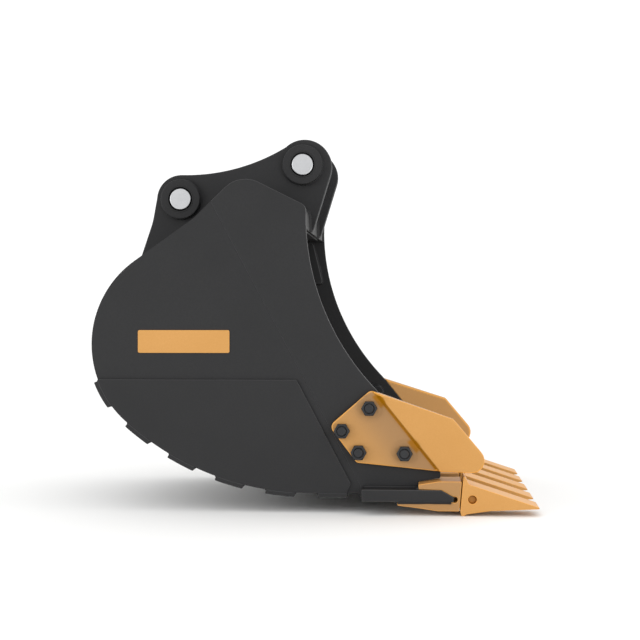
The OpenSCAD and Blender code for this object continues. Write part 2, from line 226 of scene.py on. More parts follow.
# %% Steel
def turned_steel(name, hex_main, hex_worn, roughness, line_mm):
    """Bare ground steel: its lines' noise changes 25 times as fast along the bar as across it."""
    material, tree, shader = new_material(name)
    shader.inputs["Metallic"].default_value = 1.0
    place = add_node(tree, "ShaderNodeTexCoord").outputs["Object"]
    flat = add_node(tree, "ShaderNodeMapping", {"Vector": place, "Scale": (0.04, 1.0, 0.04)})
    lines = add_node(tree, "ShaderNodeTexNoise",
                     {"Vector": flat.outputs["Vector"], "Scale": per_metre(line_mm), "Detail": 3.0})
    stain = add_node(tree, "ShaderNodeTexNoise",
                     {"Vector": place, "Scale": per_metre(STAIN_MM), "Detail": 3.0})
    colour = add_node(tree, "ShaderNodeMix",
                      {"Factor": stain.outputs["Fac"], "A": linear(hex_main), "B": linear(hex_worn)},
                      data_type="RGBA")
    tree.links.new(colour.outputs["Result"], shader.inputs["Base Color"])
    dullness = add_node(tree, "ShaderNodeMapRange",
                        {"Value": lines.outputs["Fac"], "From Min": 0.3, "From Max": 0.7,
                         "To Min": roughness - 0.06, "To Max": roughness + 0.08})
    tree.links.new(dullness.outputs["Result"], shader.inputs["Roughness"])
    bump = add_node(tree, "ShaderNodeBump", {"Height": lines.outputs["Fac"], "Distance": 0.00004})
    tree.links.new(bump.outputs["Normal"], shader.inputs["Normal"])
    return material


# Ground steel: the default IOR of a metal, a light grey, and a spread-out reflection
ground_steel = turned_steel("ground_steel", "BABBBD", "C4C5C7", 0.32, 1.5)
# Black oxide: a thin dark skin on steel, bluish, smoother than the paint. Its last three
# colours are painted shade, painted corner shade and a painted highlight
black_oxide = enamel("black_oxide_steel",
                     ("1C1D20", "242527", "18181A", "121214", "505256"), 0.36, 0.35)
MATERIALS = {"black_paint": black_enamel, "orange_paint": orange_enamel,
             "ground_steel": ground_steel, "black_steel": black_oxide}
slot_of = {part["node"]: part["material_slot"] for part in frame["record"]["subparts"]}
body_of = {n: obj["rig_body"] for n, obj in frame["nodes"].items()}
for name, obj in frame["nodes"].items():
    obj.data.materials.clear()
    obj.data.materials.append(MATERIALS[slot_of[name]])
print("finishes:", {slot: list(slot_of.values()).count(slot) for slot in MATERIALS})

# %% [markdown]
# ## Plate edges
# Nothing made of steel has a perfectly sharp edge: flame-cut plate is ground over, and paint
# rounds it further. That small radius is what catches the light along every edge. A modifier
# could bevel the CAD mesh, but its loose triangles bevel badly. Instead the outline of each flat
# face is read from the CAD part and carried round a quarter-circle profile.

# %% Outline helpers
def cad_triangles(node):
    """Corners of a CAD node, doubles merged, and its triangles as rows of three indices."""
    mesh = frame["nodes"][node].data
    co = np.empty(len(mesh.vertices) * 3)
    mesh.vertices.foreach_get("co", co)
    index = np.empty(len(mesh.loops), int)
    mesh.loops.foreach_get("vertex_index", index)
    points, same = np.unique(np.round(co.reshape(-1, 3), 6), axis=0, return_inverse=True)
    return points, same.ravel()[index].reshape(-1, 3)


def area_of(loop):
    """Signed area of a closed loop: half the sum of x_i z_i+1 - x_i+1 z_i."""
    following = np.roll(loop, -1, 0)
    return 0.5 * float(np.sum(loop[:, 0] * following[:, 1] - following[:, 0] * loop[:, 1]))


def face_loops(node, y):
    """Edges of the flat face that a CAD node has in the plane Y = y, as loops of (x, z) points.

    An edge of the rim belongs to one triangle only, so its reverse is in no other triangle.
    """
    points, triangles = cad_triangles(node)
    in_face = np.abs(points[triangles][:, :, 1] - y) < 0.03 * MM
    flat = triangles[np.all(in_face, axis=1)]
    edges = np.concatenate([flat[:, [0, 1]], flat[:, [1, 2]], flat[:, [2, 0]]])
    code = edges[:, 0] * len(points) + edges[:, 1]
    back = edges[:, 1] * len(points) + edges[:, 0]
    rim = edges[~np.isin(code, back)]
    follows = dict(zip(rim[:, 0].tolist(), rim[:, 1].tolist()))
    loops = []
    while follows:
        at, after = follows.popitem()
        chain = [at]
        while after != chain[0]:
            chain.append(after)
            after = follows.pop(after)
        loops.append(points[chain][:, [0, 2]])
    sign = np.sign(area_of(max(loops, key=lambda l: abs(area_of(l)))))
    return [l if sign > 0 else l[::-1] for l in loops]


def unit(v):
    """The vectors with length 1."""
    return v / np.maximum(np.linalg.norm(v, axis=-1, keepdims=True), 1e-12)


def turning(loop):
    """Angle that the path turns at each point, in degrees, positive to the left."""
    u = unit(loop - np.roll(loop, 1, 0))
    v = unit(np.roll(loop, -1, 0) - loop)
    return np.degrees(np.arctan2(u[:, 0] * v[:, 1] - u[:, 1] * v[:, 0], np.sum(u * v, 1)))


def tidy(loop):
    """The loop without doubled points and points in the middle of a straight stretch."""
    loop = loop[np.linalg.norm(loop - np.roll(loop, 1, 0), axis=1) > 1e-4]
    return loop[np.abs(turning(loop)) > 0.05]


def true_circle(loop, segments=72):
    """A drilled hole comes as a polygon, so it is drawn again as c + r (cos a, sin a)."""
    centre = (loop.min(0) + loop.max(0)) / 2
    radii = np.linalg.norm(loop - centre, axis=1)
    if len(loop) < 12 or np.ptp(radii) > 0.2 * MM:
        return loop
    a = np.linspace(0, 2 * np.pi, segments, endpoint=False)
    a = a if area_of(loop) > 0 else a[::-1]
    return centre + radii.mean() * np.stack([np.cos(a), np.sin(a)], 1)


# How far a guard point lies from the rounded part
GUARD = 0.6 * MM


def round_corners(loop, radius, steps=5):
    """Rounds corners that turn over 16 degrees, and guards each with a point on both straights.

    A corner P between A and B becomes the curve (1-s)^2 A + 2 s (1-s) P + s^2 B. Its ends lie
    radius * tan(turn / 2) from P, or less where an edge is short.
    """
    before = loop - np.roll(loop, 1, 0)
    after = np.roll(loop, -1, 0) - loop
    turn = np.abs(np.radians(turning(loop)))
    room = 0.42 * np.minimum(np.linalg.norm(before, axis=1), np.linalg.norm(after, axis=1))
    wanted = radius * np.tan(np.minimum(turn, 2.6) / 2)
    reach = np.minimum(wanted, np.maximum(room - GUARD, 0.01 * MM))[:, None]
    a = loop - unit(before) * reach
    b = loop + unit(after) * reach
    s = np.linspace(0, 1, steps)[None, :, None]
    curve = (1 - s) ** 2 * a[:, None] + 2 * s * (1 - s) * loop[:, None] + s ** 2 * b[:, None]
    ends = np.minimum(GUARD, room * 0.9)[:, None]
    first, last = a - unit(before) * ends, b + unit(after) * ends
    curve = np.concatenate([first[:, None], curve, last[:, None]], 1)
    plain = np.repeat(loop[:, None], curve.shape[1], 1)
    sharp = (turn > math.radians(16))[:, None, None]
    points = np.where(sharp, curve, plain).reshape(-1, 2)
    return points[np.linalg.norm(points - np.roll(points, 1, 0), axis=1) > 2e-6]


def moved_in(loop, d):
    """Each point moved d into the material, along the bisector of its two edges' left normals."""
    u = unit(loop - np.roll(loop, 1, 0))
    v = unit(np.roll(loop, -1, 0) - loop)
    m = np.stack([-u[:, 1], u[:, 0]], 1)
    n = np.stack([-v[:, 1], v[:, 0]], 1)
    return loop + d * (m + n) / np.maximum(1 + np.sum(m * n, 1), 0.35)[:, None]


def outline_at(node, y, corner_mm):
    """The loops of a CAD node's flat face at Y = y, with rounded corners."""
    return [round_corners(true_circle(tidy(l)), corner_mm * MM) for l in face_loops(node, y)]


print("points round an ear:", max(len(l) for l in outline_at("ear_left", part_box("ear_left")[1].y, 4.0)))

# %% Grids and pieces
def grid_faces(rows, columns, first=0):
    """Quads between neighbouring rows of a grid of points, numbered row by row, each row a ring."""
    i, j = np.meshgrid(np.arange(rows - 1), np.arange(columns), indexing="ij")
    k = (j + 1) % columns
    here, after = i * columns, (i + 1) * columns
    return first + np.stack([here + j, after + j, after + k, here + k], -1).reshape(-1, 4)


def volume_of(points, faces):
    """Six times the signed volume, summed over fans of every face: a . (b x c)."""
    total = 0.0
    for f in faces:
        for k in range(1, f.shape[1] - 1):
            a, b, c = points[f[:, 0]], points[f[:, k]], points[f[:, k + 1]]
            total += float(np.sum(a * np.cross(b, c)))
    return total


def paint_where(obj, attribute, amount):
    """Writes a number from 0 to 1 at each vertex, for the enamel to read."""
    layer = obj.data.attributes.new(attribute, "FLOAT", "POINT")
    layer.data.foreach_set("value", np.asarray(amount, dtype=np.float32))


def paint_edge_highlights(obj, amount=1.0, top_highlight=0.0):
    """Paints a highlight on the edges round a flat face, where 4 n^2 (1 - n^2) of the normal's
    Y share n is over a half.

    amount, for every vertex or for each, keeps the painted highlight off other slopes.
    top_highlight is how far the faces that look up get the painted highlight too.
    """
    n = np.empty(len(obj.data.vertices) * 3)
    obj.data.vertices.foreach_get("normal", n)
    n = n.reshape(-1, 3)
    share = n[:, 1] ** 2
    edge = amount * np.clip((4 * share * (1 - share) - 0.5) * 2.5, 0, 1)
    paint_where(obj, "painted_highlight", np.maximum(edge, top_highlight * (n[:, 2] > 0.5)))


def piece(name, points, faces, node, slot=None, replaces=()):
    """Makes one finished piece from points and arrays of faces, and ties it to the CAD part."""
    if volume_of(points - points.mean(0), faces) < 0:
        faces = [f[:, ::-1] for f in faces]
    mesh = bpy.data.meshes.new(name)
    mesh.from_pydata(points.tolist(), [], [row for f in faces for row in f.tolist()])
    mesh.shade_smooth()
    mesh.update()
    obj = bpy.data.objects.new(name, mesh)
    bpy.context.scene.collection.objects.link(obj)
    slot = slot or slot_of[node]
    mesh.materials.append(MATERIALS[slot])
    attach(obj, body_of[node])
    if replaces:
        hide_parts(*replaces)
    return obj


# %% Slabs
def edge_profile(y0, y1, r, guard=GUARD, steps=4):
    """Rows of (inset, y) from one cap to the other: a quarter circle at each edge.

    inset = r (1 - sin a) and y = y0 + r (1 - cos a), with a from 0 on the cap to 90 on the side.
    """
    a = np.linspace(0, np.pi / 2, steps)
    near = np.stack([r * (1 - np.sin(a)), y0 + r * (1 - np.cos(a))], 1)
    near = np.concatenate([[[r + guard, y0]], near, [[0, y0 + r + guard]]])
    far = near[::-1].copy()
    far[:, 1] = y0 + y1 - far[:, 1]
    return np.concatenate([near, far])


def slab_mesh(loops, y0, y1, r):
    """Solid between two flat faces: every loop swept through edge_profile, and two flat caps."""
    profile = edge_profile(y0, y1, r)
    points, faces, caps, first = [], [], [], 0
    for loop in loops:
        ring = np.stack([moved_in(loop, d) for d, _ in profile])
        y = np.repeat(profile[:, 1][:, None], len(loop), 1)
        points.append(np.stack([ring[:, :, 0], y, ring[:, :, 1]], -1).reshape(-1, 3))
        faces.append(grid_faces(len(profile), len(loop), first))
        caps.append(first + np.arange(len(loop)))
        first += len(profile) * len(loop)
    points = np.concatenate(points)
    near = np.concatenate(caps)
    flat = [[Vector((*points[i][[0, 2]], 0)) for i in cap] for cap in caps]
    tri = near[np.array(tessellate_polygon(flat))]
    a, b, c = (points[tri[:, k]][:, [0, 2]] for k in range(3))
    turn = (b - a)[:, 0] * (c - a)[:, 1] - (b - a)[:, 1] * (c - a)[:, 0]
    tri = np.where(turn[:, None] > 0, tri, tri[:, ::-1])
    shift = np.concatenate([np.full(len(cap), (len(profile) - 1) * len(cap)) for cap in caps])
    to_far = dict(zip(near.tolist(), (near + shift).tolist()))
    far = np.vectorize(to_far.get)(tri)[:, ::-1]
    return points, [np.concatenate(faces), np.concatenate([tri, far])]


def plate(node, edge_mm):
    """A flat CAD part made again with rounded edges. Its outline comes from the CAD part."""
    low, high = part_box(node)
    points, faces = slab_mesh(outline_at(node, high.y, 4.0), low.y, high.y, edge_mm * MM)
    # Painted highlight along the rounded edges
    paint_edge_highlights(piece(node + "_plate", points, faces, node, replaces=[node]))


print("rows round an edge:", len(edge_profile(0, 20 * MM, 3 * MM)) // 2)

# %% Plates
STRIPS = range(1, 7)
PLATES = {"shell_back": 1.2, "shell_floor": 1.2, "torque_box_plate": 2.5, "lip": 3.0}
PLATES.update({f"{n}_{side}": r for side in ("left", "right") for n, r in (
    ("side_plate", 0.25), ("side_cheek", 1.6), ("ear", 3.0), ("side_wear_plate", 2.0),
    ("corner_doubler", 2.5), ("name_plate", 0.8))})
PLATES.update({f"wear_strip_{i}": 2.0 for i in STRIPS})
for node, edge_mm in PLATES.items():
    plate(node, edge_mm)
print("plates:", len(PLATES))

# %% [markdown]
# ## Turned parts
# Pins, bosses, bushes and washers come off a lathe, so their shape is a profile turned about an
# axis. A cone or a small radius at each end leads the part in and takes the sharp edge off. All
# the axes here lie along Y, so one function turns rows of (radius, y) about a point of the side
# view. A radius may also change with the angle, which is how the hexagon of a nut is made.

# %% Turning
def turned(centre, rows, hollow=False, segments=72):
    """Points c + R (cos a, sin a) at height y, for each row (R, y); R and y may vary with a.

    A hollow part joins its last row to its first. A solid one is closed by a flat end at both.
    """
    a = np.linspace(0, 2 * np.pi, segments, endpoint=False)
    radius = np.stack([np.broadcast_to(r, a.shape) for r, _ in rows])
    y = np.stack([np.broadcast_to(h, a.shape) for _, h in rows])
    points = np.stack([centre[0] + radius * np.cos(a), y, centre[1] + radius * np.sin(a)], -1)
    if hollow:
        quads = grid_faces(len(rows) + 1, segments) % (len(rows) * segments)
        return points.reshape(-1, 3), [quads]
    first = np.arange(segments)
    ends = np.stack([first, (first + (len(rows) - 1) * segments)[::-1]])
    return points.reshape(-1, 3), [grid_faces(len(rows), segments), ends]


def rod_rows(r, y0, y1, edge):
    """Rows of a round bar whose two ends are rounded by edge."""
    return [(r - d, y) for d, y in edge_profile(y0, y1, edge)]


def ring_rows(r_out, r_in, y0, y1, edge, bore_edge):
    """Closed rows of a ring, rounded by edge outside and by bore_edge inside."""
    outer = [(r_out - d, y) for d, y in edge_profile(y0, y1, edge)]
    return outer + [(r_in + d, y) for d, y in edge_profile(y0, y1, bore_edge, 0.2 * MM)[::-1]]


def joined(parts):
    """Several (points, faces) put into one."""
    points, faces, first = [], [], 0
    for p, f in parts:
        points.append(p)
        faces += [g + first for g in f]
        first += len(p)
    return np.concatenate(points), faces


def size_of(node):
    """Middle (x, z), half size (x, z) and the two y planes of a CAD node's box."""
    low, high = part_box(node)
    low, high = np.array(low), np.array(high)
    return (low + high)[[0, 2]] / 2, (high - low)[[0, 2]] / 2, low[1], high[1]


print("link joint:", size_of("link_boss_left")[0].round(3).tolist())

# %% Bosses, bushes and pins
PIN_R = 40.0 * MM
BUSH_R = 50.0 * MM
BORE_R = 40.05 * MM
FLAG_T = 16 * MM
# The recess that takes the dust seal, in the outboard end of a bush
SEAL_R, SEAL_L = BORE_R + 5 * MM, 13 * MM
ear_joints = {"stick": np.array([0.0, 0.0]), "link": size_of("link_boss_left")[0]}
for joint, centre in ear_joints.items():
    for side in ("left", "right"):
        _, half, y0, y1 = size_of(f"{joint}_boss_{side}")
        rows = ring_rows(half[0], BUSH_R, y0, y1, 4 * MM, 0.3 * MM)
        points, faces = turned(centre, rows, hollow=True, segments=128)
        piece(f"{joint}_boss_{side}_ring", points, faces, f"{joint}_boss_{side}",
              replaces=[f"{joint}_boss_{side}"])
        rows = [(BUSH_R - 0.4 * MM, y0 + 0.2 * MM), (BUSH_R - 0.1 * MM, y0 + 1 * MM),
                (BUSH_R - 0.1 * MM, y1 - 1 * MM), (BUSH_R - 0.6 * MM, y1 - 0.2 * MM),
                (SEAL_R + 0.8 * MM, y1 - 0.2 * MM), (SEAL_R, y1 - 1 * MM),
                (SEAL_R, y1 - SEAL_L), (SEAL_R - 0.5 * MM, y1 - SEAL_L - 1 * MM),
                (BORE_R + 0.6 * MM, y1 - SEAL_L - 1 * MM), (BORE_R, y1 - SEAL_L - 2 * MM),
                (BORE_R, y0 + 1 * MM), (BORE_R + 0.6 * MM, y0 + 0.2 * MM)]
        if side == "right":
            rows = [(r, y0 + y1 - y) for r, y in rows]
        points, faces = turned(centre, rows, hollow=True, segments=96)
        piece(f"{joint}_bush_{side}_ring", points, faces, f"{joint}_bush_{side}", slot="black_paint",
              replaces=[f"{joint}_bush_{side}"])
    _, _, y0, y1 = size_of(f"{joint}_pin")
    points, faces = turned(centre, rod_rows(PIN_R, y0, y1 - 2 * MM, 3 * MM), segments=128)
    piece(f"{joint}_pin_bar", points, faces, f"{joint}_pin", replaces=[f"{joint}_pin"])
    points, faces = slab_mesh(outline_at(f"{joint}_pin", y1, 2.0), y1 - FLAG_T, y1, 2 * MM)
    piece(f"{joint}_pin_flag", points, faces, f"{joint}_pin")
print("ear joints:", {k: v.round(3).tolist() for k, v in ear_joints.items()})

# %% [markdown]
# ## Nuts and bolts
# A nut is a hexagon cut by a 30 degree cone, so each of its six faces ends in an arc. The bolt
# comes through from inside and its chamfered end shows in the middle of the nut. The radius of
# a hexagon at angle a is half its width over flats, divided by the cosine of the angle from the
# middle of the nearest flat. The cone then takes 0.58 mm off the height for each mm of radius.

# %% Hexagons
def hexagon(af, segments=72):
    """Radius of a hexagon af wide over its flats, a corner on +X: (af / 2) / cos(a mod 60 - 30)."""
    a = np.linspace(0, 360, segments, endpoint=False)
    return af / 2 / np.cos(np.radians(a % 60 - 30))


def hex_rows(af, y_seat, y_top, edge=0.7 * MM):
    """Rows of a hexagon from its seat to its top, chamfered by a cone of 30 degrees."""
    r = hexagon(af)
    out = 1 if y_top > y_seat else -1
    flat_r = 0.95 * af / 2
    cone = y_top - out * (r - flat_r) * math.tan(math.radians(30))
    return [(r - edge, y_seat), (r, y_seat + out * edge), (r, cone - out * edge),
            (r - 0.4 * edge, cone), (flat_r + edge, y_top - out * 0.45 * edge), (flat_r, y_top),
            (flat_r - edge, y_top)]


print("corner of a 50 mm nut:", round(hexagon(50 * MM).max(), 4), "m")

# %% Cutter bolts
CUTTER_BOLTS = np.array([[261, -893], [164, -973], [223, -1049], [385, -1052]]) * MM
BOLT_R, HEX_AF = 16.5 * MM, 50 * MM
HEAD_T, NUT_T, BOLT_END = 21 * MM, 26 * MM, 6 * MM
WASHER_R, WASHER_T = 30 * MM, 4 * MM
SIDE_OUT, SIDE_IN, PAD_T = 500 * MM, 475 * MM, 25 * MM
NUT_SEAT, HEAD_SEAT = SIDE_OUT + PAD_T, SIDE_IN - WASHER_T
SIDES = (("left", 1), ("right", -1))
for side, out in SIDES:
    nuts, bolts = [], []
    for centre in CUTTER_BOLTS:
        rows = hex_rows(HEX_AF, out * NUT_SEAT, out * (NUT_SEAT + NUT_T))
        rows += [(BOLT_R + 2.2 * MM, rows[-1][1]), (BOLT_R + 1.4 * MM, rows[-1][1] - out * 0.3 * MM),
                 (BOLT_R, rows[-1][1] - out * 2 * MM), (BOLT_R, out * NUT_SEAT)]
        nuts.append(turned(centre, rows, hollow=True))
        tip = NUT_SEAT + NUT_T + BOLT_END
        shank = [(BOLT_R, HEAD_SEAT), (BOLT_R, tip - 3.4 * MM), (BOLT_R - 0.3 * MM, tip - 2.8 * MM),
                 (BOLT_R - 2.4 * MM, tip - 0.4 * MM), (BOLT_R - 3 * MM, tip), (BOLT_R - 4 * MM, tip)]
        rows = hex_rows(HEX_AF, HEAD_SEAT, HEAD_SEAT - HEAD_T)[::-1]
        bolts.append(turned(centre, [(r, out * y) for r, y in rows + shank]))
    piece(f"cutter_nuts_{side}_set", *joined(nuts), f"cutter_nuts_{side}",
          replaces=[f"cutter_nuts_{side}"])
    piece(f"cutter_bolts_{side}_set", *joined(bolts), f"cutter_bolts_{side}",
          replaces=[f"cutter_bolts_{side}"])
washers = []
for _, out in SIDES:
    y0, y1 = sorted((out * HEAD_SEAT, out * SIDE_IN))
    rows = ring_rows(WASHER_R, BOLT_R + 1 * MM, y0, y1, 1 * MM, 0.5 * MM)
    washers += [turned(centre, rows, hollow=True) for centre in CUTTER_BOLTS]
piece("cutter_washers_set", *joined(washers), "cutter_washers", replaces=["cutter_washers"])
print("cutter bolts:", 2 * len(CUTTER_BOLTS), "washers:", len(washers))

# %% [markdown]
# ## Keepers
# A flag welded to each hinge pin is bolted to a small block on the left ear, so the pin can
# neither slide out nor turn. The blocks are sawn from flat bar, so they are slabs with rounded
# edges. Each bolt is one turned shape: shank, washer and chamfered head in one run of rows.

# %% Keeper blocks and bolts
KEEPER_R, KEEPER_AF, KEEPER_HEAD_T = 10 * MM, 30 * MM, 12 * MM
blocks = outline_at("keeper_blocks", size_of("keeper_blocks")[3], 3.0)
piece("keeper_blocks_cut", *slab_mesh(blocks, *size_of("keeper_blocks")[2:], 2 * MM), "keeper_blocks",
      replaces=["keeper_blocks"])
for joint in ear_joints:
    node = f"{joint}_pin_keeper_bolt"
    centre, _, y0, y1 = size_of(node)
    washer_y = y1 - KEEPER_HEAD_T - 3 * MM
    rows = [(KEEPER_R - d, y) for d, y in edge_profile(y0, washer_y, 1.5 * MM)[:6]]
    rows += [(17 * MM, washer_y), (18 * MM, washer_y + 0.8 * MM), (18 * MM, washer_y + 2.2 * MM),
             (17.4 * MM, washer_y + 3 * MM)]
    rows += hex_rows(KEEPER_AF, washer_y + 3 * MM, y1)
    piece(node + "_turned", *turned(centre, rows), node, replaces=[node])
    print(node, "at", centre.round(3).tolist())

# %% [markdown]
# ## Side cutters
# A side cutter is one casting: a flat pad that is bolted to the cheek, and a wing that laps the
# cheek's front edge and flares outwards to keep the sides clear of the cut. Its outer face is a
# height above the side view, so it is worked out on a fine triangle lattice over the outline.
# The wing rises out of the pad in a soft step, and two nuts near the step have round reliefs.

# %% Cutter surfaces
def smooth(u):
    """3 u^2 - 2 u^3 between 0 and 1, flat at both ends."""
    u = np.clip(u, 0, 1)
    return u * u * (3 - 2 * u)


def soft_min(a, b, k):
    """Lower of a and b, with the crease between them rounded over a height k."""
    h = np.clip(0.5 + 0.5 * (b - a) / k, 0, 1)
    return b + (a - b) * h - k * h * (1 - h)


# Corners of the cutter as (x, z, radius), and the cheek's straight front edge that it guards
CUTTER_CORNERS = np.array([[264, -830, 22], [555, -926, 20], [716, -1117, 45], [505, -1115, 30],
                           [216, -1086, 16], [118, -957, 25]]) * MM
mouth_end = math.radians(224)
edge_top = (np.array([926, -209]) + 893 * np.array([math.cos(mouth_end), math.sin(mouth_end)])) * MM
edge_run = unit(np.array([512, -1113]) * MM - edge_top)
edge_out = np.array([-edge_run[1], edge_run[0]])
RELIEVED_BOLTS = CUTTER_BOLTS[[0, 3]]


def cutter_wing(t):
    """Height of the wing: 541 + 0.3 (t + 4) mm from the middle plane, t out from the cheek's edge."""
    return 541 * MM + 52 / 174 * (t + 4 * MM)


def cutter_outer(xz):
    """Height of the outer face: the pad, then a soft step to the wing, and the nut reliefs.

    A relief is a cone round its nut that rises from the pad past 44 mm.
    """
    t = (xz - edge_top) @ edge_out
    pad = SIDE_OUT + PAD_T
    wing = cutter_wing(t)
    y = pad + (wing - pad) * smooth((t + 12 * MM) / (12 * MM))
    for bolt in RELIEVED_BOLTS:
        relief = pad + 0.95 * np.maximum(np.linalg.norm(xz - bolt, axis=1) - 44 * MM, 0)
        y = soft_min(y, relief, 5 * MM)
    return y


def cutter_inner(xz):
    """Height of the inner face: flat on the cheek, then past its edge a lap that slopes out."""
    t = (xz - edge_top) @ edge_out
    lap = 478 * MM + 90 / 169 * np.maximum(t - 1 * MM, 0)
    return SIDE_OUT + (lap - SIDE_OUT) * np.clip(t / (1 * MM), 0, 1)


print("cheek edge from", edge_top.round(3).tolist(), "along", edge_run.round(3).tolist())

# %% Cutter lattice
def lattice(step, fine):
    """Rows along the cheek's edge: step apart, but fine apart where the wing and lap begin."""
    t = np.concatenate([np.arange(-290, -40, step), np.arange(-40, -1.5, fine), [-0.8, 0.0, 1.0, 1.8],
                        np.arange(1.8 + fine, 8, fine), np.arange(8 + step, 190, step)]) * MM
    s, t = np.meshgrid(np.arange(-300, 760, 2 * fine) * MM, t)
    s[1::2] += fine * MM
    return edge_top + s.reshape(-1, 1) * edge_run + t.reshape(-1, 1) * edge_out


def gap_to(points, loop):
    """Shortest distance from each point to a closed loop: |r - k s|, k = r.s / s.s held in 0 to 1."""
    seg = np.roll(loop, -1, 0) - loop
    rel = points[:, None] - loop
    along = np.clip(np.sum(rel * seg, 2) / np.maximum(np.sum(seg * seg, 1), 1e-12), 0, 1)
    return np.linalg.norm(rel - along[..., None] * seg, axis=2).min(1)


def filled(loop, grid, clear):
    """Triangles over a loop and the grid points inside it, clear of its edge: (points, triangles).

    A point is inside if a line from it towards -X crosses the loop an odd number of times.
    """
    following = np.roll(loop, -1, 0)
    seg = following - loop
    gap = gap_to(grid, loop)
    crosses = (loop[:, 1] > grid[:, None, 1]) != (following[:, 1] > grid[:, None, 1])
    slope = np.where(np.abs(seg[:, 1]) > 1e-12, seg[:, 0] / np.where(seg[:, 1] == 0, 1, seg[:, 1]), 0)
    left_of = grid[:, None, 0] < loop[:, 0] + slope * (grid[:, None, 1] - loop[:, 1])
    inside = np.sum(crosses & left_of, 1) % 2 == 1
    every = np.concatenate([loop, grid[inside & (gap > clear)]])
    rim = [(i, (i + 1) % len(loop)) for i in range(len(loop))]
    made = delaunay_2d_cdt([Vector(p) for p in every.tolist()], rim, [list(range(len(loop)))], 1, 1e-7)
    origin = np.array([o[0] for o in made[3]])
    return every, origin[np.array(made[2])]


def densely(loop, step):
    """The loop with points added so that no edge is longer than step."""
    out = []
    for a, b in zip(loop, np.roll(loop, -1, 0)):
        n = max(int(np.linalg.norm(b - a) / step), 1)
        out.append(a + (b - a) * np.linspace(0, 1, n, endpoint=False)[:, None])
    return np.concatenate(out)


def with_arcs(corners, steps=9):
    """An outline of (x, z, radius) corners, each drawn as its true arc."""
    out = []
    for before, at, after in zip(np.roll(corners, 1, 0), corners, np.roll(corners, -1, 0)):
        u, w = unit(before[:2] - at[:2]), unit(after[:2] - at[:2])
        half = math.acos(float(u @ w)) / 2
        middle = at[:2] + unit(u + w) * at[2] / math.sin(half)
        start = at[:2] + u * at[2] / math.tan(half) - middle
        end = at[:2] + w * at[2] / math.tan(half) - middle
        a0 = math.atan2(start[1], start[0])
        turn = (math.atan2(end[1], end[0]) - a0 + 3 * math.pi) % (2 * math.pi) - math.pi
        a = a0 + turn * np.linspace(0, 1, steps)
        out.append(middle + at[2] * np.stack([np.cos(a), np.sin(a)], 1))
    return np.concatenate(out)


cutter_outline = with_arcs(CUTTER_CORNERS)
print("lattice points:", len(lattice(8, 2.5)))

# %% Cutter mesh
def cutter_mesh(out):
    """Both faces from their height functions, joined round the outline by rounded edges."""
    loop = densely(cutter_outline, 4 * MM)
    if area_of(loop) < 0:
        loop = loop[::-1]
    depth_to_middle = 20 * MM
    rows = edge_profile(0, depth_to_middle, 4.5 * MM)
    half = len(rows) // 2
    rings = []
    for k, (d, y) in enumerate(rows):
        xz = moved_in(loop, d)
        depth = y if k < half else depth_to_middle - y
        h = cutter_inner(xz) + depth if k < half else cutter_outer(xz) - depth
        rings.append(np.stack([xz[:, 0], h, xz[:, 1]], 1))
    n = len(loop)
    sides = grid_faces(len(rows), n)
    inner_loop = moved_in(loop, rows[0][0])
    flat, tri = filled(inner_loop, lattice(8, 2.5), 1.6 * MM)
    interior = flat[n:]
    first = len(rows) * n
    low = np.stack([interior[:, 0], cutter_inner(interior), interior[:, 1]], 1)
    high = np.stack([interior[:, 0], cutter_outer(interior), interior[:, 1]], 1)
    points = np.concatenate(rings + [low, high])
    near = np.where(tri < n, tri, tri - n + first)
    far = np.where(tri < n, tri + (len(rows) - 1) * n, tri - n + first + len(interior))
    a, b, c = (flat[tri[:, k]] for k in range(3))
    turn = (b - a)[:, 0] * (c - a)[:, 1] - (b - a)[:, 1] * (c - a)[:, 0]
    flip = turn[:, None] > 0
    faces = [sides, np.where(flip, near, near[:, ::-1]), np.where(flip, far[:, ::-1], far)]
    points[:, 1] *= out
    return points, faces


def vertices_of(obj):
    """All vertex places of a piece, one row each."""
    co = np.empty(len(obj.data.vertices) * 3)
    obj.data.vertices.foreach_get("co", co)
    return co.reshape(-1, 3)


for side, out in SIDES:
    made = piece(f"side_cutter_{side}_cast", *cutter_mesh(out), f"side_cutter_{side}",
                 replaces=[f"side_cutter_{side}"])
    p = vertices_of(made)
    xz = p[:, [0, 2]]
    t = (xz - edge_top) @ edge_out
    outer = np.abs(p[:, 1]) > cutter_outer(xz) - 8 * MM
    # Painted shade on the pad, darker towards the step, none on the wing's outer face, and a little on
    # every other face
    on_wing = smooth((t + 10 * MM) / (12 * MM))
    pad_shade = 0.25 + 0.75 * smooth((t + 190 * MM) / (150 * MM))
    paint_where(made, "painted_shade", np.where(outer, pad_shade * (1 - on_wing), 0.3))
    # Painted shade along the step and in the two reliefs
    corner_shade = smooth((t + 16 * MM) / (5 * MM)) * smooth((1 * MM - t) / (5 * MM))
    for bolt in RELIEVED_BOLTS:
        r = np.linalg.norm(xz - bolt, axis=1)
        past, beside = (xz - bolt) @ edge_out, np.abs((xz - bolt) @ edge_run)
        pocket = smooth((past - 28 * MM) / (8 * MM)) * smooth((64 * MM - r) / (6 * MM))
        corner_shade = np.maximum(corner_shade, pocket * smooth((30 * MM - beside) / (10 * MM)))
    paint_where(made, "painted_corner_shade", np.where(outer, corner_shade, 0.0))
    # Painted highlight along the cutter's outline
    paint_edge_highlights(made, gap_to(xz, cutter_outline) < 6 * MM)
    print(made.name, "vertices:", len(p))

# %% [markdown]
# ## Teeth and adapters
# Each adapter straddles the lip with two legs and carries a nose that the tooth slides onto.
# Both are castings, so their edges are rounder than a plate's. The outlines come from the CAD
# parts again. The adapter's body is as wide as the tooth and its nose is narrower, so it is made
# of two slabs.

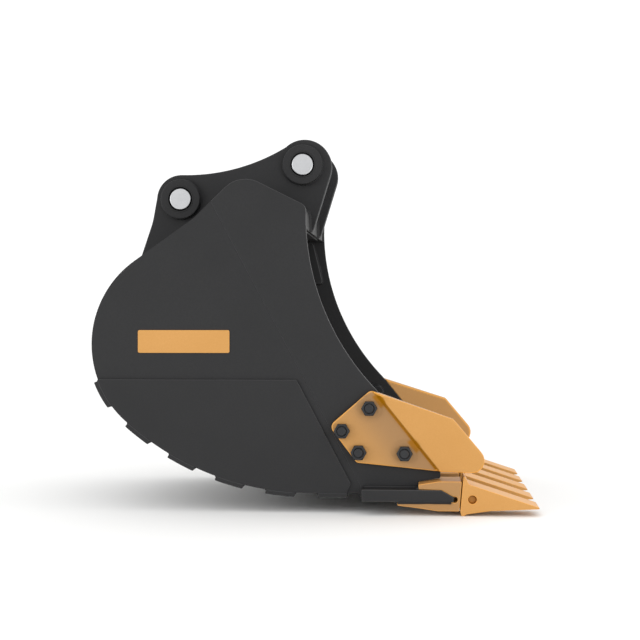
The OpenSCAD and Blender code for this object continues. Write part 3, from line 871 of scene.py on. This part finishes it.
# %% Teeth and adapters
TEETH = range(1, 6)
NOSE_HALF = 42 * MM
for i in TEETH:
    _, _, y0, y1 = size_of(f"adapter_{i}")
    body = slab_mesh(outline_at(f"adapter_{i}", y1, 4.0), y0, y1, 2.5 * MM)
    middle_y = (y0 + y1) / 2
    nose_rim = face_loops(f"adapter_{i}", middle_y + NOSE_HALF)
    nose = slab_mesh([round_corners(tidy(l), 3 * MM) for l in nose_rim if area_of(l) > 0],
                     middle_y - NOSE_HALF, middle_y + NOSE_HALF, 2 * MM)
    made = piece(f"adapter_{i}_cast", *joined([body, nose]), f"adapter_{i}",
                 replaces=[f"adapter_{i}"])
    # Painted shade over the whole adapter
    paint_where(made, "painted_shade", np.full(len(made.data.vertices), 0.8))
    # Painted highlight on the adapter's edges and, less, on its top faces
    paint_edge_highlights(made, top_highlight=0.3)
    _, _, y0, y1 = size_of(f"tooth_{i}")
    made = piece(f"tooth_{i}_cast", *slab_mesh(outline_at(f"tooth_{i}", y1, 3.0), y0, y1, 2.2 * MM),
                 f"tooth_{i}", replaces=[f"tooth_{i}"])
    # Painted highlight on the tooth's edges and on its top faces
    paint_edge_highlights(made, top_highlight=0.55)
    centre, half, y0, y1 = size_of(f"tooth_pin_{i}")
    pin = piece(f"tooth_pin_{i}_bar", *turned(centre, rod_rows(half[0], y0, y1, 4.5 * MM)),
                f"tooth_pin_{i}", slot="orange_paint", replaces=[f"tooth_pin_{i}"])
    # Painted shade over the whole tooth pin, which sits in its hole
    paint_where(pin, "painted_corner_shade", np.full(len(pin.data.vertices), 0.6))
print("teeth, adapters and tooth pins:", i, "of each")

# %% [markdown]
# ## Weld beads
# Thick plate is joined by fillet welds: a bead of melted wire in the corner between two plates.
# Its face is slightly convex and shows a row of overlapping ripples, one for each stop of the
# torch. Here a bead is a small section carried along a path, with two directions that say where
# its legs lie. The paths come from the CAD outlines: a weld runs where two outlines touch.

# %% Weld helpers
def bead(path, na, nb, leg, closed=False, pitch=7 * MM):
    """A fillet weld. Across it runs u from 0 to 1, from one toe p + leg na to the other, p + leg nb.

    The face is p + leg (na (1 - u) + nb u + 0.16 (na + nb) sin(pi u)), times a ripple that is
    0.93 + 0.1 sqrt |sin(pi s / pitch)|, where s runs along the weld and lags at both toes.
    """
    if closed:
        path, na, nb = (np.concatenate([v, v[:1]]) for v in (path, na, nb))
    run = np.concatenate([[0], np.cumsum(np.linalg.norm(np.diff(path, axis=0), axis=1))])
    count = max(int(run[-1] / (pitch / 4)), 4)
    s = np.linspace(0, run[-1], count, endpoint=not closed)
    p, na, nb = (np.stack([np.interp(s, run, v[:, k]) for k in range(3)], 1) for v in (path, na, nb))
    na, nb = unit(na)[:, None], unit(nb)[:, None]
    u = np.linspace(0, 1, 6)[None, :, None]
    lag = s[:, None, None] + 0.5 * leg * (2 * u - 1) ** 2
    ripple = 0.93 + 0.1 * np.sqrt(np.abs(np.sin(np.pi * lag / pitch)))
    # As by hand, the size drifts in two slow waves, 153 and 65 mm long
    wander = 1 + 0.05 * np.sin(s * 41)[:, None, None] + 0.04 * np.sin(s * 97 + 1)[:, None, None]
    face = (na * (1 - u) + nb * u + 0.16 * (na + nb) * np.sin(np.pi * u)) * ripple * wander * leg
    root = -0.12 * leg * (na + nb)
    first_toe, last_toe = face[:, :1] - 0.1 * leg * nb, face[:, -1:] - 0.1 * leg * na
    section = np.concatenate([first_toe, face, last_toe, root], 1)
    points = (p[:, None] + section).reshape(-1, 3)
    k = section.shape[1]
    if closed:
        return points, [grid_faces(count + 1, k) % (count * k)]
    first = np.arange(k)
    return points, [grid_faces(count, k), np.stack([first, (first + (count - 1) * k)[::-1]])]


def outward(made):
    """The same mesh with its faces turned outwards."""
    points, faces = made
    if volume_of(points - points.mean(0), faces) > 0:
        return made
    return points, [f[:, ::-1] for f in faces]


def left_of(path, closed=False):
    """Normal to the left of a path in the side view, at each point."""
    if closed:
        along = unit(np.roll(path, -1, 0) - np.roll(path, 1, 0))
    else:
        along = unit(np.gradient(path, axis=0))
    return np.stack([-along[:, 1], along[:, 0]], 1)


def in_plane(path, y):
    """A path of the side view placed at Y = y."""
    return np.insert(path, 1, y, axis=1)


def seam(path, y, facing, leg, side=1, closed=False):
    """Weld in the corner of the plane Y = y, which faces along facing Y, and an edge of that path."""
    nb = in_plane(side * left_of(path, closed), 0.0)
    na = np.tile([0.0, facing, 0.0], (len(path), 1))
    return outward(bead(in_plane(path, y), na, nb, leg, closed))


def cross_seam(at, y0, y1, na, nb, leg):
    """Straight weld along Y at the point (x, z), with its legs along the side view's na and nb."""
    path = np.array([[at[0], y0, at[1]], [at[0], y1, at[1]]])
    legs = [np.tile([n[0], 0.0, n[1]], (2, 1)) for n in (na, nb)]
    return outward(bead(path, *legs, leg))


print("faces in 1 m of weld:", len(cross_seam((0, 0), 0, 1, (1, 0), (0, 1), 5 * MM)[1][0]))

# %% Where the welds run
def distance_to(points, loops):
    """Distance of each point from the nearest edge of any of the loops."""
    return np.min([gap_to(points, loop) for loop in loops], axis=0)


def runs(loop, chosen):
    """Stretches of a loop whose edges are chosen, as open paths."""
    if chosen.all():
        return [np.concatenate([loop, loop[:1]])]
    start = int(np.argmin(chosen))
    order = (np.arange(len(loop)) + start) % len(loop)
    paths, path = [], []
    for i in order.tolist():
        if chosen[i]:
            path = path or [i]
            path.append((i + 1) % len(loop))
        elif path:
            paths.append(loop[path])
            path = []
    return [p for p in paths + ([loop[path]] if path else []) if len(p) > 2]


def touching(loop, others, within=0.5 * MM):
    """Stretches of a loop that lie on an edge of the others."""
    loop = densely(loop, 6 * MM)
    middles = (loop + np.roll(loop, -1, 0)) / 2
    return runs(loop, distance_to(middles, others) < within)


def length_of(path):
    """Length of an open path."""
    return float(np.linalg.norm(np.diff(path, axis=0), axis=1).sum())


def biggest(loops):
    """The loop with the largest area, which is the outside one."""
    return max(loops, key=lambda l: abs(area_of(l)))


def rim_of(node):
    """Outside loop of the left face of a CAD node."""
    return biggest([tidy(l) for l in face_loops(node, size_of(node)[3])])


def weld_piece(name, beads):
    """One piece from many beads. All the welds of the body ride with its back plate."""
    made = piece(name, *joined(beads), "shell_back")
    print(name, "beads:", len(beads), "faces:", len(made.data.polygons))


# %% Ear and boss welds
EAR_OUT, EAR_IN = 218 * MM, 178 * MM
body_loops = [rim_of(n) for n in ("torque_box_plate", "shell_back", "shell_floor")]
ear_beads = []
for side, out in SIDES:
    loop = rim_of(f"ear_{side}")
    for path in touching(loop, body_loops):
        if length_of(path) > 30 * MM:
            ear_beads += [seam(path, out * EAR_OUT, out, 9 * MM),
                          seam(path, out * EAR_IN, -out, 9 * MM)]
weld_piece("ear_welds", ear_beads)

BOSS_R = 75 * MM
boss_beads = []
around = np.linspace(0, 2 * np.pi, 96, endpoint=False)
for centre in ear_joints.values():
    ring = centre + BOSS_R * np.stack([np.cos(around), -np.sin(around)], 1)
    for out in (1, -1):
        boss_beads += [seam(ring, out * EAR_OUT, out, 3.5 * MM, closed=True),
                       seam(ring, out * EAR_IN, -out, 5 * MM, closed=True)]
# A block's outside has 36 points, and its hole has 72
for loop in blocks:
    if len(loop) < 60:
        boss_beads.append(seam(loop[::-1], EAR_OUT, 1, 5 * MM, closed=True))
weld_piece("boss_welds", boss_beads)

# %% Welds inside the body
side_loops = [rim_of("side_plate_left"), rim_of("side_cheek_left")]
side_beads = []
for node in ("shell_back", "shell_floor", "torque_box_plate"):
    loop = densely(rim_of(node), 6 * MM)
    middles = (loop + np.roll(loop, -1, 0)) / 2
    for path in runs(loop, distance_to(middles, side_loops) > 5 * MM):
        for out in (1, -1):
            side_beads.append(seam(path, out * SIDE_IN, -out, 6.5 * MM, side=-1))
DOUBLER_T = 20 * MM
for side, out in SIDES:
    loop = biggest(outline_at(f"corner_doubler_{side}", out * (SIDE_IN - DOUBLER_T), 4.0))
    side_beads.append(seam(loop, out * SIDE_IN, -out, 6 * MM, side=-1, closed=True))
foot = densely(rim_of("torque_box_plate"), 6 * MM)
rear = foot[np.argmin(foot[:, 0])]
slope = math.radians(35.4)
rise = np.array([math.cos(slope), math.sin(slope)])
side_beads.append(cross_seam(rear, -SIDE_IN, SIDE_IN, -rise, np.array([-rise[1], rise[0]]), 8 * MM))
weld_piece("side_welds", side_beads)

# %% Strip, lip and adapter welds
strip_beads = []
for i in STRIPS:
    loop = rim_of(f"wear_strip_{i}")
    path = max(touching(loop, side_loops + body_loops), key=length_of)
    normal = left_of(path)
    for end, beyond in ((0, 1), (-1, -2)):
        outwards = unit(path[end] - path[beyond])
        strip_beads.append(cross_seam(path[end], -SIDE_OUT, SIDE_OUT, outwards, normal[end], 5 * MM))
weld_piece("strip_welds", strip_beads)

LIP_TOP, LIP_BOTTOM, LIP_REAR = -1174 * MM, -1217 * MM, 235 * MM
up, down, back = (0.0, 1.0), (0.0, -1.0), (-1.0, 0.0)
FLOOR_Z = -1197 * MM
lip_beads = [cross_seam((LIP_REAR, FLOOR_Z), -SIDE_OUT, SIDE_OUT, back, down, 11 * MM)]
top_run = np.array([[240, -1174], [330, -1174], [430, -1174]]) * MM
for out in (1, -1):
    lip_beads += [seam(top_run, out * SIDE_OUT, out, 7 * MM),
                  seam(top_run, out * SIDE_IN, -out, 8 * MM)]
leg_top = np.array([[436, -1174], [475, -1174], [512, -1175]]) * MM
leg_bottom = np.array([[362, -1217], [450, -1217], [548, -1217]]) * MM
for i in TEETH:
    _, _, y0, y1 = size_of(f"adapter_{i}")
    for y, facing in ((y0, -1), (y1, 1)):
        # None outside the end adapters, which are 4 mm in from the ends of the lip
        if abs(y) < 560 * MM:
            lip_beads.append(seam(leg_top, y, facing, 7 * MM))
        lip_beads.append(seam(leg_bottom, y, facing, 7 * MM, side=-1))
    lip_beads.append(cross_seam((434 * MM, LIP_TOP), y0, y1, back, up, 8 * MM))
    lip_beads.append(cross_seam((360 * MM, LIP_BOTTOM), y0, y1, back, down, 8 * MM))
weld_piece("lip_welds", lip_beads)

# %% [markdown]
# ## Floor and light
# The bucket stands on a plain pale floor, so large that its edge is past the horizon. The world is
# an even white, as in a light tent, and gives most of the light. A large key light on the left
# draws the edges, and a small low light on the right lifts the teeth and cutters near the floor.

# %% Floor and light
def stage_plane(name, z, size, hex_colour):
    """A level square, size across, at height z, with a matt finish."""
    mesh = bpy.data.meshes.new(name)
    s = size / 2
    mesh.from_pydata([(-s, -s, z), (s, -s, z), (s, s, z), (-s, s, z)], [], [(0, 1, 2, 3)])
    obj = bpy.data.objects.new(name, mesh)
    bpy.context.scene.collection.objects.link(obj)
    material, _, shader = new_material(name)
    shader.inputs["Base Color"].default_value = linear(hex_colour)
    shader.inputs["Roughness"].default_value = 0.9
    mesh.materials.append(material)


stage_plane("floor", cad_box[0][2] - 1 * MM, 400.0, "F7F7F6")

world = bpy.data.worlds.new("studio")
world.use_nodes = True
background = world.node_tree.nodes["Background"]
background.inputs["Color"].default_value = linear("FFFFFF")
background.inputs["Strength"].default_value = 1.15
bpy.context.scene.world = world
bpy.context.scene.view_settings.view_transform = "Standard"


def area_light(name, place, target, size, watts):
    """A square softbox at place that faces target."""
    data = bpy.data.lights.new(name, "AREA")
    data.shape = "SQUARE"
    data.size = size
    data.energy = watts
    obj = bpy.data.objects.new(name, data)
    obj.location = place
    obj.rotation_euler = (Vector(target) - Vector(place)).to_track_quat("-Z", "Y").to_euler()
    bpy.context.scene.collection.objects.link(obj)


middle = (0.0, 0.0, -0.6)
area_light("key", (-5.0, -4.0, 0.4), middle, 3.0, 90)
area_light("low_front", (2.2, -3.0, -0.7), (0.3, -0.5, -1.1), 1.5, 26)
